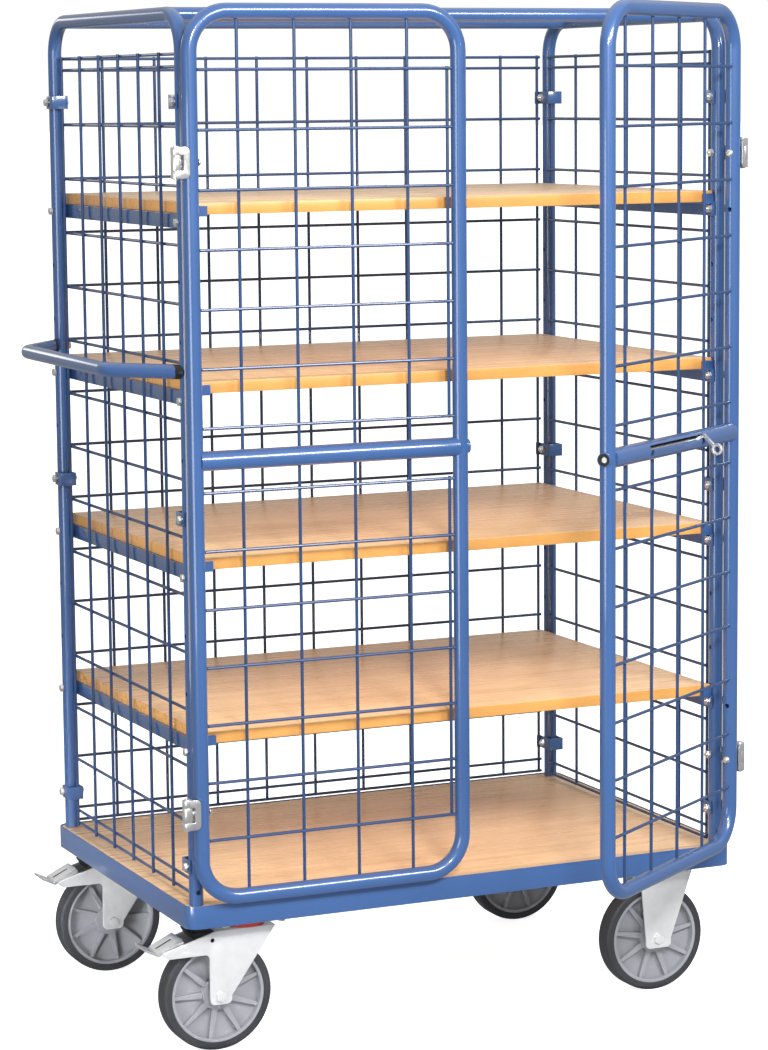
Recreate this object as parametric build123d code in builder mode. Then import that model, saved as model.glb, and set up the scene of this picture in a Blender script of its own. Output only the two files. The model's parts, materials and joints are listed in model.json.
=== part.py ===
from build123d import *
from math import cos, radians, sin
import os

os.makedirs("parts", exist_ok=True)

# Lengths are in millimetres. X runs along the trolley with the push handle at -X,
# the doors are at -Y, Z points up and the floor is z = 0.

# Base
base_length = 1070.0
base_width = 710.0
base_height = 40.0
base_corner = 22.0
base_sheet = 3.0
base_flange = 38.0
ledge_width = 32.0
deck_thickness = 15.0
deck_drop = 1.5
fit_gap = 0.3
socket_wall = 2.5
channel_width = 150.0

# Cage tubes
tube_diameter = 25.0
post_inset_x = 23.0
post_inset_y = 22.0
cage_height = 1525.0
cage_bend = 62.0
top_tube_inset = 78.0

# Drilled grid of the posts
hole_count = 14
hole_lift = 67.0
hole_fall = 158.0
bolt_diameter = 8.0
bolt_play = 0.6
foot_hole = 9.0
foot_hole_lift = 22.5

# Mesh panels
wire = 4.5
wire_sides = 6
weld_gap = 0.05
mesh_lift = 7.0
mesh_fall = 78.6
mesh_low_pair = 24.0
mesh_high_pair = 21.0
mesh_rows = 15
wire_overhang = 3.6
rear_pitch = 103.5
rear_wire_count = 9
rear_wire_stand = 5.0
side_wire_count = 7
side_wire_gap = 5.5
side_wire_inset = 5.4

# Mesh clips
strap_sheet = 2.5
strap_height = 24.0
strap_tail = 9.0
hook_length = 5.0

# Shelves
shelf_thickness = 20.0
shelf_inset = 14.0
shelf_skip_rows = 2
shelf_step_rows = 3
shelf_count = 4
rail_leg = 25.0
rail_sheet = 3.0
rail_stop = 15.0

# Push handle
handle_lift = 917.0
handle_out = 104.0
handle_inset = 6.5
grip_length = 440.0
handle_bend = 45.0
handle_wall = 2.0
plug_depth = 8.5
plug_stem = 37.0

# Bolts: width across flats, head and nut height
bolt_flats = 13.0
bolt_head = 5.5
bolt_nut = 6.5

# Doors
door_tube = 26.9
door_rise = 4.0
door_lift = 1.0
door_meeting = 40.0
door_bend = 67.0
door_stand = 33.0
middle_tube = 33.7
middle_bore = 27.2
middle_rise = 5.5
sleeve_diameter = 25.0
sleeve_bore = 22.0
sleeve_end = 1.5
door_wire_count = 4
door_wire_margin = 181.4
left_wire_first = 86.1
right_wire_first = 113.0
end_wire_inset = 20.0
door_rows = 7
door_row_first = 54.5
door_row_gap = 96.05
right_open_angle = 35.0

# Hinges
hinge_out_x = 28.0
hinge_out_y = 40.0
barrel_diameter = 18.0
pin_diameter = 9.0
pin_running = 0.05
pin_length = 56.0
leaf_height = 52.0
leaf_reach = 21.5
leaf_sheet = 2.5
leaf_corner = 8.0
leaf_flange = 12.0
leaf_knee = 26.0
leaf_foot = 13.0
knuckle_height = 26.0
knuckle_gap = 0.3
notch_play = 2.5
dome_diameter = 13.0
dome_height = 4.0
dome_nut_flats = 10.0
dome_nut = 2.4

# Lock in the middle tube of the right door
lock_rod = 10.0
lock_running = 0.08
lock_rod_start = 132.0
lock_rod_recess = 2.5
lock_slot_start = 146.0
lock_slot_gap = 132.0
lock_slot_width = 8.0
lock_slot_angle = 25.0
lock_notch_length = 11.0
lock_notch_drop = 9.0
lock_lever_lead = 6.0
lock_lever_sheet = 6.0
lock_lever_neck = 3.0
lock_eye_ring = 21.0
lock_eye_hole = 11.0
lock_eye_out = 26.0
lock_eye_drop = 15.0
lock_bush_length = 15.0
lock_bush_lead = 27.0
lock_bush_recess = 1.0

# Wheels
wheel_diameter = 200.0
tyre_width = 38.0
tyre_shoulder = 4.0
tyre_thickness = 14.0
rim_thickness = 6.0
rim_width = 36.0
hub_diameter = 56.0
hub_height = 33.0
hub_boss = 31.0
web_thickness = 9.0
spoke_count = 9
spoke_height = 26.0
spoke_width_hub = 14.0
spoke_width_rim = 6.0
spoke_root = 1.0
spoke_turn_front = 180.0
spoke_turn_rear = 0.0
spoke_turn_fixed = 170.0
axle_diameter = 12.0
axle_running = 0.06
axle_flats = 17.0
axle_head = 4.0

# Casters
caster_inset_x = 133.0
caster_inset_y = 73.0
caster_trail = 60.0
fixed_axle_shift = 2.0
plate_length = 130.0
plate_width = 104.0
plate_sheet = 5.0
plate_corner = 9.5
plate_bolt_x = 52.0
plate_bolt_y = 40.0
fork_sheet = 3.5
fork_gap = 59.5
fork_round = 9.0
wheel_clear = 13.5
hub_gap = 0.35
fixed_leg_in = 38.0
fixed_leg_out = 72.0
fixed_foot_half = 26.0
fixed_foot_drop = 17.0
crown_front = 43.0
crown_back = 69.0
swivel_foot_half = 20.0
swivel_foot_drop = 14.0
lobe_length = 171.0
lobe_drop = 40.0
lobe_tip_drop = 30.0
lobe_chin = 13.0
lobe_round = 4.0
spy_hole = 8.0
spy_hole_back = 74.5
spy_hole_drop = 15.5
head_diameter = 62.0
head_height = 7.2
seal_diameter = 66.0
seal_hole = 48.0
seal_height = 5.5
kingpin_nut = 6.5
kingpin_flats = 19.0

# Wheel brakes
brake_pivot_x = 124.0
brake_pivot_drop = 26.0
brake_pin = 8.0
brake_running = 0.05
block_back = 112.0
block_front = 70.0
block_taper = 8.0
block_gap = 3.5
pedal_width = 50.0
pedal_sheet = 4.0
pedal_barrel = 14.0
pedal_neck = 5.0
pedal_top_rise = 18.0
pedal_fold_back = 47.0
pedal_fold_drop = 2.0
pedal_step = 3.5
pedal_lip_back = 72.0
pedal_lip_rise = 6.5
pedal_slot_length = 29.0
pedal_slot_width = 4.5
pedal_slot_at = 29.0

# Heights that follow from the wheels upwards
axle_height = wheel_diameter / 2
crown_bottom = wheel_diameter + wheel_clear
fork_top = crown_bottom + fork_sheet
head_bottom = fork_top + seal_height + fit_gap
plate_bottom = head_bottom + head_height
base_bottom = plate_bottom + plate_sheet
base_top = base_bottom + base_height
deck_bottom = base_top - deck_drop - deck_thickness
cage_top = base_top + cage_height
brake_pivot_z = fork_top - brake_pivot_drop
handle_height = base_top + handle_lift

# Posts and their drilled grid
tube_radius = tube_diameter / 2
post_x = base_length / 2 - post_inset_x
post_y = base_width / 2 - post_inset_y
post_hole = tube_radius + fit_gap
bolt_hole = (bolt_diameter + bolt_play) / 2
cage_bar = cage_top - tube_radius
top_tube_y = post_y - top_tube_inset
hole_first = base_top + hole_lift
hole_pitch = (cage_top - hole_fall - hole_first) / (hole_count - 1)
hole_levels = [hole_first + hole_pitch * row for row in range(hole_count)]
clip_rows = [0, hole_count // 2 - 1, hole_count - 1]
hinge_rows = [1, hole_count - 2]
spare_rows = [hinge_rows[0] + 1, hinge_rows[1] - 1]
shelf_rows = [shelf_skip_rows + shelf_step_rows * k for k in range(shelf_count)]
free_rows = [row for row in range(hole_count) if row not in clip_rows + hinge_rows + shelf_rows]
corners = [(sx, sy) for sx in (-1, 1) for sy in (-1, 1)]
posts = [(sx * post_x, sy * post_y) for sx, sy in corners]

# Wires and clips
wire_radius = wire / 2
wire_corner = wire_radius / cos(radians(180 / wire_sides))
wire_step = wire + weld_gap
mesh_low = base_top + mesh_lift
mesh_high = cage_top - mesh_fall
mesh_first = mesh_low + mesh_low_pair
mesh_pitch = (mesh_high - mesh_high_pair - mesh_first) / (mesh_rows - 1)
mesh_levels = [mesh_first + mesh_pitch * row for row in range(mesh_rows)]
mesh_levels = [mesh_low] + mesh_levels + [mesh_high]
mesh_foot = mesh_low - wire_overhang
mesh_tip = mesh_high + wire_overhang
rear_end_wire = post_x - tube_radius - strap_sheet - wire_corner - weld_gap
rear_half = rear_end_wire + wire_overhang
rear_wire_plane = post_y + tube_radius + rear_wire_stand
rear_row_plane = rear_wire_plane - wire_step
side_half = post_y - tube_radius - side_wire_gap
side_end_wire = side_half - wire_overhang
side_pitch = 2 * side_end_wire / (side_wire_count - 1)
side_wire_plane = post_x - side_wire_inset
side_row_plane = side_wire_plane - wire_step
strap_inner = post_y - side_end_wire + wire_corner + weld_gap
hook_inner = rear_wire_plane - post_y + wire_radius + 2 * weld_gap

# Shelves and handle
rail_outer = post_x - tube_radius
shelf_length = 2 * (rail_outer - rail_sheet - fit_gap)
shelf_depth = base_width - 2 * shelf_inset
shelf_levels = [hole_levels[row] + rail_leg / 2 for row in shelf_rows]
handle_reach = post_x + handle_out
handle_end = post_x + tube_radius + plug_depth
leg_run = handle_reach - post_x - tube_radius
leg_end = post_y - handle_inset
grip_half = grip_length / 2

# Doors, in door coordinates: u from the hinge axis along the door, w inwards
hinge_x = post_x + hinge_out_x
hinge_y = post_y + hinge_out_y
door_span = post_x - door_meeting / 2
door_radius = door_tube / 2
stile_u = hinge_out_x
free_u = stile_u + door_span
door_w = hinge_out_y - door_stand
door_low = base_top + door_lift + door_radius
door_high = cage_top + door_rise - door_radius
middle_height = (base_top + cage_top) / 2 + middle_rise
middle_radius = middle_tube / 2
sleeve_length = door_span + door_radius + sleeve_end
door_pitch = (door_span - door_wire_margin) / (door_wire_count - 1)
door_row_last = door_high - middle_height - door_row_gap
door_row_pitch = (door_row_last - door_row_first) / (door_rows - 1)
barrel_radius = barrel_diameter / 2
lock_rod_end = sleeve_length - lock_rod_recess
lock_slot_end = door_span - lock_slot_gap
lock_slot_length = lock_slot_end - lock_slot_start
lock_lever_at = lock_slot_start + lock_lever_lead
lock_bush_end = sleeve_length - lock_bush_recess - lock_bush_length / 2
lock_bush_seats = [(lock_slot_end + lock_bush_lead, middle_bore), (lock_bush_end, sleeve_bore)]

# Casters
caster_x = base_length / 2 - caster_inset_x
caster_y = base_width / 2 - caster_inset_y
fixed_axle_x = caster_x + fixed_axle_shift
swivel_axle_x = -caster_x - caster_trail
fork_half = fork_gap / 2
hub_half = fork_half - hub_gap
rim_diameter = wheel_diameter - 2 * tyre_thickness
rim_inner = rim_diameter / 2 - rim_thickness
axle_grip = fork_gap + 2 * fork_sheet


def rods(spans, radius):
    """Round bars between pairs of points."""
    bars = []
    for start, end in spans:
        axis = Vector(*end) - Vector(*start)
        bar = Cylinder(
            radius, axis.length, align=(Align.CENTER, Align.CENTER, Align.MIN), mode=Mode.PRIVATE
        )
        bars.append(Plane(origin=start, z_dir=axis).location * bar)
    return bars


def wires(spans, normal):
    """Panel wires between pairs of points, kept to few faces, with a flat towards the normal."""
    bars = []
    for start, end in spans:
        axis = Vector(*end) - Vector(*start)
        face = Plane(origin=start, x_dir=Vector(*normal).cross(axis), z_dir=axis)
        with BuildPart() as bar:
            with BuildSketch(face):
                RegularPolygon(wire_radius, wire_sides, major_radius=False)
            extrude(amount=axis.length)
        bars.append(bar.part)
    return bars


def bent_bar(points, bend, radius, bore=0.0):
    """Round tube along a polyline with bent corners, solid where nothing opens it."""
    with BuildPart() as bar:
        with BuildLine() as path:
            FilletPolyline(*points, radius=bend)
        with BuildSketch(Plane(origin=path.line @ 0, z_dir=path.line % 0)):
            Circle(radius)
            if bore:
                Circle(bore, mode=Mode.SUBTRACT)
        sweep(path=path.line)
    return bar.part


def hex_block(flats, height):
    """Hex bolt head or nut on z = 0, upwards or, with a negative height, downwards."""
    with BuildPart() as block:
        with BuildSketch():
            RegularPolygon(flats / 2, 6, major_radius=False)
        extrude(amount=height)
    return block.part


def bolt_ends(grip):
    """Head below z = 0 and nut above the grip of a bolt whose shank is out of sight."""
    return [hex_block(bolt_flats, -bolt_head), Location((0, 0, grip)) * hex_block(bolt_flats, bolt_nut)]


def door_point(side, angle, u, w, z):
    """World point from door coordinates: u from the hinge axis, w inwards."""
    turn = radians(angle)
    across = hinge_x - u * cos(turn) - w * sin(turn)
    along = -hinge_y - u * sin(turn) + w * cos(turn)
    return (side * across, along, z)


def door_way(side, angle, u, w):
    """World direction from door coordinates."""
    return Vector(*door_point(side, angle, u, w, 0)) - Vector(*door_point(side, angle, 0, 0, 0))


# Base: rim, deck ledge, bottom flange, caster channels and post sockets
with BuildPart() as base_frame:
    with BuildSketch(Plane.XY.offset(base_bottom)):
        RectangleRounded(base_length, base_width, base_corner)
        RectangleRounded(
            base_length - 2 * base_sheet,
            base_width - 2 * base_sheet,
            base_corner - base_sheet,
            mode=Mode.SUBTRACT,
        )
    extrude(amount=base_height)
    for level, inset in ((base_bottom, base_flange), (deck_bottom - base_sheet, ledge_width)):
        with BuildSketch(Plane.XY.offset(level)):
            RectangleRounded(base_length - base_sheet, base_width - base_sheet, base_corner)
            Rectangle(base_length - 2 * inset, base_width - 2 * inset, mode=Mode.SUBTRACT)
        extrude(amount=base_sheet)
    with BuildSketch(Plane.XY.offset(base_bottom)):
        with Locations((-caster_x, 0), (caster_x, 0)):
            Rectangle(channel_width, base_width - 2 * base_sheet)
    extrude(amount=base_sheet)
    with BuildSketch(Plane.XY.offset(base_bottom)):
        for side in (-1, 1):
            for edge in (-1, 1):
                with Locations((side * caster_x + edge * (channel_width - base_sheet) / 2, 0)):
                    Rectangle(base_sheet, base_width - 2 * ledge_width)
    extrude(amount=deck_bottom - base_bottom)
    with BuildSketch(Plane.XY.offset(base_bottom)):
        with Locations(*posts):
            Circle(post_hole + socket_wall)
    extrude(amount=deck_bottom - base_bottom)
    with BuildSketch(Plane.XY.offset(base_bottom + base_sheet)):
        with Locations(*posts):
            Circle(post_hole)
    extrude(amount=base_height, mode=Mode.SUBTRACT)

with BuildPart() as deck:
    with BuildSketch(Plane.XY.offset(deck_bottom)):
        RectangleRounded(
            base_length - 2 * base_sheet - 2 * fit_gap,
            base_width - 2 * base_sheet - 2 * fit_gap,
            base_corner - base_sheet,
        )
        with Locations(*posts):
            Circle(post_hole, mode=Mode.SUBTRACT)
    extrude(amount=deck_thickness)


# Cage
def end_frame(side):
    """Bent end frame with the free holes of the grid drilled through both posts."""
    foot = base_bottom + base_sheet
    x = side * post_x
    points = [(x, -post_y, foot), (x, -post_y, cage_bar), (x, post_y, cage_bar), (x, post_y, foot)]
    tube = bent_bar(points, cage_bend, tube_radius)
    with BuildPart() as frame:
        add(tube)
        with Locations(*[(x, y, hole_levels[row]) for y in (-post_y, post_y) for row in free_rows]):
            Cylinder(bolt_hole, 2 * tube_diameter, rotation=(0, 90, 0), mode=Mode.SUBTRACT)
        with Locations((x, -post_y - tube_radius, base_top + foot_hole_lift)):
            Cylinder(foot_hole / 2, tube_diameter, rotation=(90, 0, 0), mode=Mode.SUBTRACT)
    return frame


end_frame_left = end_frame(-1)
end_frame_right = end_frame(1)


def top_tube(y):
    """Straight tube between the end frames, its ends coped to their bars."""
    with BuildPart() as tube:
        with Locations((0, y, cage_bar)):
            Cylinder(tube_radius, 2 * post_x, rotation=(0, 90, 0))
        with Locations((-post_x, y, cage_bar), (post_x, y, cage_bar)):
            Cylinder(
                tube_radius + weld_gap, 3 * tube_diameter, rotation=(90, 0, 0), mode=Mode.SUBTRACT
            )
    return tube


top_tube_front = top_tube(-top_tube_y)
top_tube_rear = top_tube(top_tube_y)


# Mesh panels
rear_columns = [rear_pitch * (k - (rear_wire_count - 1) / 2) for k in range(rear_wire_count)]
rear_columns += [-rear_end_wire, rear_end_wire]
rear_spans = [((x, rear_wire_plane, mesh_foot), (x, rear_wire_plane, mesh_tip)) for x in rear_columns]
rear_spans += [((-rear_half, rear_row_plane, z), (rear_half, rear_row_plane, z)) for z in mesh_levels]
with BuildPart() as rear_mesh:
    add(wires(rear_spans, (0, 1, 0)))


def side_mesh(side):
    """Side panel: upright wires outside, level wires inside."""
    x = side * side_wire_plane
    inner = side * side_row_plane
    columns = [side_pitch * k - side_end_wire for k in range(side_wire_count)]
    spans = [((x, y, mesh_foot), (x, y, mesh_tip)) for y in columns]
    spans += [((inner, -side_half, z), (inner, side_half, z)) for z in mesh_levels]
    with BuildPart() as panel:
        add(wires(spans, (1, 0, 0)))
    return panel


left_mesh = side_mesh(-1)
right_mesh = side_mesh(1)


# Mesh clips: a strap round each post that also holds the end wires
def clip(sx, sy):
    """Strap in plan, open to the outside of the cage and hooked over the rear mesh."""
    inner = tube_radius
    outer = tube_radius + strap_sheet
    turn = strap_inner + strap_sheet
    hook = hook_inner + strap_sheet
    outline = [(inner, strap_tail), (outer, strap_tail), (outer, -turn), (-outer, -turn)]
    if sy < 0:
        outline += [(-outer, strap_tail), (-inner, strap_tail)]
    else:
        tip = -outer - hook_length
        outline += [(-outer, hook_inner), (tip, hook_inner), (tip, hook), (-inner, hook)]
    outline += [(-inner, -strap_inner), (inner, -strap_inner)]
    with BuildPart() as strap:
        with BuildSketch(Plane.XY.offset(-strap_height / 2)):
            with BuildLine():
                Polyline(*[(sx * (post_x + a), sy * (post_y + b)) for a, b in outline], close=True)
            make_face()
        extrude(amount=strap_height)
    return strap.part


clip_levels = [hole_levels[row] for row in clip_rows]
clip_shapes = [clip(sx, sy) for sx, sy in corners]
with BuildPart() as mesh_clips:
    add([Location((0, 0, z)) * shape for shape in clip_shapes for z in clip_levels])

clip_grip = 2 * (tube_radius + strap_sheet)
clip_seats = [
    Plane(origin=(sx * (post_x + clip_grip / 2), sy * post_y, z), z_dir=(-sx, 0, 0)).location
    for sx, sy in corners
    for z in clip_levels
]
with BuildPart() as clip_bolts:
    add([seat * block for seat in clip_seats for block in bolt_ends(clip_grip)])


# Shelves
def rail(side, level):
    """Angle rail under a shelf end, with a bent-up stop at both ends."""
    outer = side * rail_outer
    half = shelf_depth / 2 + rail_sheet
    with BuildPart() as angle:
        with BuildSketch(Plane.XZ.offset(-half)):
            with BuildLine():
                Polyline(
                    (outer, level),
                    (outer - side * rail_leg, level),
                    (outer - side * rail_leg, level - rail_sheet),
                    (outer - side * rail_sheet, level - rail_sheet),
                    (outer - side * rail_sheet, level - rail_leg),
                    (outer, level - rail_leg),
                    close=True,
                )
            make_face()
        extrude(amount=2 * half)
        stop_middle = outer - side * (rail_leg + rail_sheet) / 2
        with Locations(*[(stop_middle, end * (half - rail_sheet / 2), level) for end in (-1, 1)]):
            Box(
                rail_leg - rail_sheet,
                rail_sheet,
                rail_stop,
                align=(Align.CENTER, Align.CENTER, Align.MIN),
            )
    return angle.part


with BuildPart() as rails_left:
    add([rail(-1, level) for level in shelf_levels])

with BuildPart() as rails_right:
    add([rail(1, level) for level in shelf_levels])

rail_grip = tube_diameter + rail_sheet + weld_gap
rail_seat = post_x + tube_radius + weld_gap
rail_seats = [
    Plane(origin=(sx * rail_seat, sy * post_y, hole_levels[row]), z_dir=(-sx, 0, 0)).location
    for sx, sy in corners
    for row in shelf_rows
]
with BuildPart() as rail_bolts:
    add([seat * block for seat in rail_seats for block in bolt_ends(rail_grip)])


def shelf(level):
    """Shelf board lying on its two rails."""
    with BuildPart() as board:
        with Locations((0, 0, level)):
            Box(
                shelf_length,
                shelf_depth,
                shelf_thickness,
                align=(Align.CENTER, Align.CENTER, Align.MIN),
            )
    return board


shelf_1 = shelf(shelf_levels[0])
shelf_2 = shelf(shelf_levels[1])
shelf_3 = shelf(shelf_levels[2])
shelf_4 = shelf(shelf_levels[3])

# Push handle
handle_points = [
    (-handle_reach + leg_run, -leg_end, handle_height),
    (-handle_reach, -grip_half, handle_height),
    (-handle_reach, grip_half, handle_height),
    (-handle_reach + leg_run, leg_end, handle_height),
]
handle_tube = bent_bar(handle_points, handle_bend, tube_radius, tube_radius - handle_wall)
with BuildPart() as handle:
    add(handle_tube)
    with Locations((-handle_end, 0, handle_height)):
        Box(
            2 * leg_run,
            4 * leg_end,
            2 * tube_diameter,
            align=(Align.MIN, Align.CENTER, Align.CENTER),
            mode=Mode.SUBTRACT,
        )


def handle_plug(end):
    """Black end plug between the handle tube and the post, with a stem inside the tube."""
    start = (-handle_reach + leg_run, end * leg_end, handle_height)
    knee = (-handle_reach, end * grip_half, handle_height)
    leg = Plane(origin=start, z_dir=Vector(*knee) - Vector(*start))
    with BuildPart() as plug:
        with BuildSketch(leg.offset(-tube_diameter)):
            Circle(tube_radius)
        extrude(amount=3 * tube_diameter)
        with Locations((-handle_end, 0, handle_height)):
            Box(
                4 * tube_diameter,
                4 * leg_end,
                2 * tube_diameter,
                align=(Align.MAX, Align.CENTER, Align.CENTER),
                mode=Mode.SUBTRACT,
            )
        with BuildSketch(leg):
            Circle(tube_radius - handle_wall - weld_gap)
        extrude(amount=plug_stem)
        with Locations((-post_x - tube_radius, end * post_y, handle_height)):
            Box(
                4 * tube_diameter,
                6 * tube_diameter,
                3 * tube_diameter,
                align=(Align.MIN, Align.CENTER, Align.CENTER),
                mode=Mode.SUBTRACT,
            )
    return plug.part


with BuildPart() as handle_plugs:
    add([handle_plug(end) for end in (-1, 1)])

screw_seat = -post_x + tube_radius + weld_gap
with BuildPart() as handle_screws:
    for y in (-post_y, post_y):
        seat = Plane(origin=(screw_seat, y, handle_height), z_dir=(-1, 0, 0))
        add(seat.location * hex_block(bolt_flats, -bolt_head))


# Doors
def door_frame(side, angle):
    """Bent door tube with spare hinge holes, bored middle tube and the sleeve that guides the rod."""
    seam_u = (stile_u + free_u) / 2
    halves = []
    for u in (stile_u, free_u):
        bends = [(seam_u, door_low), (u, door_low), (u, door_high), (seam_u, door_high)]
        points = [door_point(side, angle, a, door_w, z) for a, z in bends]
        halves.append(bent_bar(points, door_bend, door_radius))
    stops = [stile_u + door_radius / 2, free_u - door_radius / 2, stile_u + sleeve_length]
    stops += [stile_u + door_radius, free_u - door_radius]
    marks = [door_point(side, angle, u, door_w, middle_height) for u in stops]
    start, butt, tip, bore_start, bore_end = marks
    spare_ends = [(stile_u, hole_levels[row]) for row in spare_rows]
    spare_ends += [(stile_u + 2 * door_radius, hole_levels[row]) for row in spare_rows]
    spare = [door_point(side, angle, u, door_w, z) for u, z in spare_ends]
    with BuildPart() as frame:
        add(halves)
        add(rods([(start, butt)], middle_radius))
        add(rods([(butt, tip)], sleeve_diameter / 2))
        add(rods([(bore_start, bore_end)], middle_bore / 2), mode=Mode.SUBTRACT)
        add(rods([(bore_end, tip)], sleeve_bore / 2), mode=Mode.SUBTRACT)
        add(rods(zip(spare[:2], spare[2:]), bolt_hole), mode=Mode.SUBTRACT)
    return frame


def door_mesh(side, angle, first):
    """Door wires: level wires outside, upright wires inside, butted to the tubes."""
    w_row = door_w - wire_step / 2
    w_column = door_w + wire_step / 2
    low = door_low + door_radius
    high = door_high - door_radius
    below = middle_height - middle_radius
    above = middle_height + middle_radius
    steps = [door_row_first + door_row_pitch * k for k in range(door_rows)]
    spans = []
    for sign in (-1, 1):
        for step in steps:
            z = middle_height + sign * step
            spans.append(((stile_u + door_radius, w_row, z), (free_u - door_radius, w_row, z)))
        near = middle_height + sign * (steps[0] - wire_overhang)
        far = middle_height + sign * (steps[-1] + wire_overhang)
        u = free_u - end_wire_inset
        spans.append(((u, w_column, near), (u, w_column, far)))
    for k in range(door_wire_count):
        u = stile_u + first + door_pitch * k
        spans.append(((u, w_column, low), (u, w_column, below)))
        spans.append(((u, w_column, above), (u, w_column, high)))
    world = [(door_point(side, angle, *a), door_point(side, angle, *b)) for a, b in spans]
    with BuildPart() as panel:
        add(wires(world, door_way(side, angle, 0, 1)))
    return panel


def door_leaf(side, angle, level):
    """Door half of a hinge: plate, two knuckles and a flange beside the stile."""
    along = door_way(side, angle, 1, 0)
    inward = door_way(side, angle, 0, 1)
    face = Plane(door_point(side, angle, 0, -barrel_radius, level), x_dir=along, z_dir=inward)
    side_u = stile_u - door_radius
    flange = Plane(door_point(side, angle, side_u, 0, level), x_dir=inward, z_dir=-along)
    axis_spot = door_point(side, angle, 0, 0, level)[:2]
    with BuildPart() as leaf:
        with BuildSketch(face):
            with Locations((leaf_reach / 2, 0)):
                Rectangle(leaf_reach, leaf_height)
            fillet([v for v in vertices() if v.X > leaf_reach / 2], leaf_corner)
        extrude(amount=leaf_sheet)
        with BuildSketch(Plane.XY.offset(level - leaf_height / 2)):
            with Locations(axis_spot):
                Circle(barrel_radius)
        extrude(amount=leaf_height)
        with BuildSketch(face):
            Rectangle(2 * (barrel_radius + notch_play), knuckle_height)
        extrude(amount=2 * barrel_diameter, both=True, mode=Mode.SUBTRACT)
        with BuildSketch(flange):
            with Locations(((leaf_flange - barrel_radius) / 2, 0)):
                Rectangle(leaf_flange + barrel_radius, knuckle_height)
        extrude(amount=leaf_sheet)
        with BuildSketch(Plane.XY.offset(level)):
            with Locations(axis_spot):
                Circle(pin_diameter / 2 + pin_running)
        extrude(amount=leaf_height, both=True, mode=Mode.SUBTRACT)
    return leaf.part


def door_leaves(side, angle):
    """Both hinge leaves of a door."""
    shapes = [door_leaf(side, angle, hole_levels[row]) for row in hinge_rows]
    with BuildPart() as leaves:
        add(shapes)
    return leaves


def door_bolts(side, angle):
    """Round heads on the mesh side of the stile and nuts on the hinge flange."""
    head_u = stile_u + door_radius + weld_gap
    nut_u = stile_u - door_radius - leaf_sheet
    out = door_way(side, angle, 1, 0)
    levels = [hole_levels[row] for row in hinge_rows]
    heads = [Plane(door_point(side, angle, head_u, door_w, z), z_dir=out) for z in levels]
    nuts = [Plane(door_point(side, angle, nut_u, door_w, z), z_dir=out) for z in levels]
    with BuildPart() as bolts:
        with BuildSketch(*heads):
            Circle(dome_diameter / 2)
        extrude(amount=dome_height)
        with BuildSketch(*nuts):
            RegularPolygon(dome_nut_flats / 2, 6, major_radius=False)
        extrude(amount=-dome_nut)
    return bolts


left_door_frame = door_frame(-1, 0)
left_door_mesh = door_mesh(-1, 0, left_wire_first)
left_door_leaves = door_leaves(-1, 0)
left_door_bolts = door_bolts(-1, 0)
right_frame_plain = door_frame(1, right_open_angle)
right_door_mesh = door_mesh(1, right_open_angle, right_wire_first)
right_door_leaves = door_leaves(1, right_open_angle)
right_door_bolts = door_bolts(1, right_open_angle)


# Lock: slot in the right door's middle tube, guide bushes, rod and lever
def lock_plane(s):
    """Plane across the middle tube of the right door, x outwards and y up."""
    return Plane(
        origin=door_point(1, right_open_angle, stile_u + s, door_w, middle_height),
        x_dir=door_way(1, right_open_angle, 0, -1),
        z_dir=door_way(1, right_open_angle, 1, 0),
    )


slot_out = cos(radians(lock_slot_angle))
slot_up = sin(radians(lock_slot_angle))
lock_cross = lock_plane(lock_slot_start)
slot_normal = lock_cross.x_dir * slot_out + lock_cross.y_dir * slot_up
slot_face = Plane(
    origin=lock_cross.origin + slot_normal * middle_bore / 4,
    x_dir=lock_cross.z_dir,
    z_dir=slot_normal,
)
slot_down = -1 if slot_face.y_dir.Z > 0 else 1
with BuildPart() as right_door_frame:
    add(right_frame_plain.part)
    with BuildSketch(slot_face):
        with Locations((lock_slot_length / 2, 0)):
            Rectangle(lock_slot_length, lock_slot_width)
        notch_middle = slot_down * (lock_slot_width + lock_notch_drop) / 2
        notch_first = lock_notch_length / 2
        with Locations((notch_first, notch_middle), (lock_slot_length - notch_first, notch_middle)):
            Rectangle(lock_notch_length, lock_notch_drop)
    extrude(amount=middle_tube, mode=Mode.SUBTRACT)

with BuildPart() as lock_bushes:
    for place, bore in lock_bush_seats:
        with BuildSketch(lock_plane(place)):
            Circle(bore / 2)
            Circle(lock_rod / 2 + lock_running, mode=Mode.SUBTRACT)
        extrude(amount=lock_bush_length / 2, both=True)

with BuildPart() as lock_bolt:
    with BuildSketch(lock_plane(lock_rod_start)):
        Circle(lock_rod / 2)
    extrude(amount=lock_rod_end - lock_rod_start)

lever_knee = middle_radius + lock_lever_neck
lever_eye = (middle_radius + lock_eye_out, -lock_eye_drop)
with BuildPart() as lock_lever:
    with BuildSketch(lock_plane(lock_lever_at)):
        with BuildLine():
            Polyline((0, 0), (lever_knee * slot_out, lever_knee * slot_up), lever_eye)
        trace(line_width=lock_lever_sheet)
        with Locations(lever_eye):
            Circle(lock_eye_ring / 2)
            Circle(lock_eye_hole / 2, mode=Mode.SUBTRACT)
        Circle(lock_rod / 2, mode=Mode.SUBTRACT)
    extrude(amount=lock_lever_sheet / 2, both=True)


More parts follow.
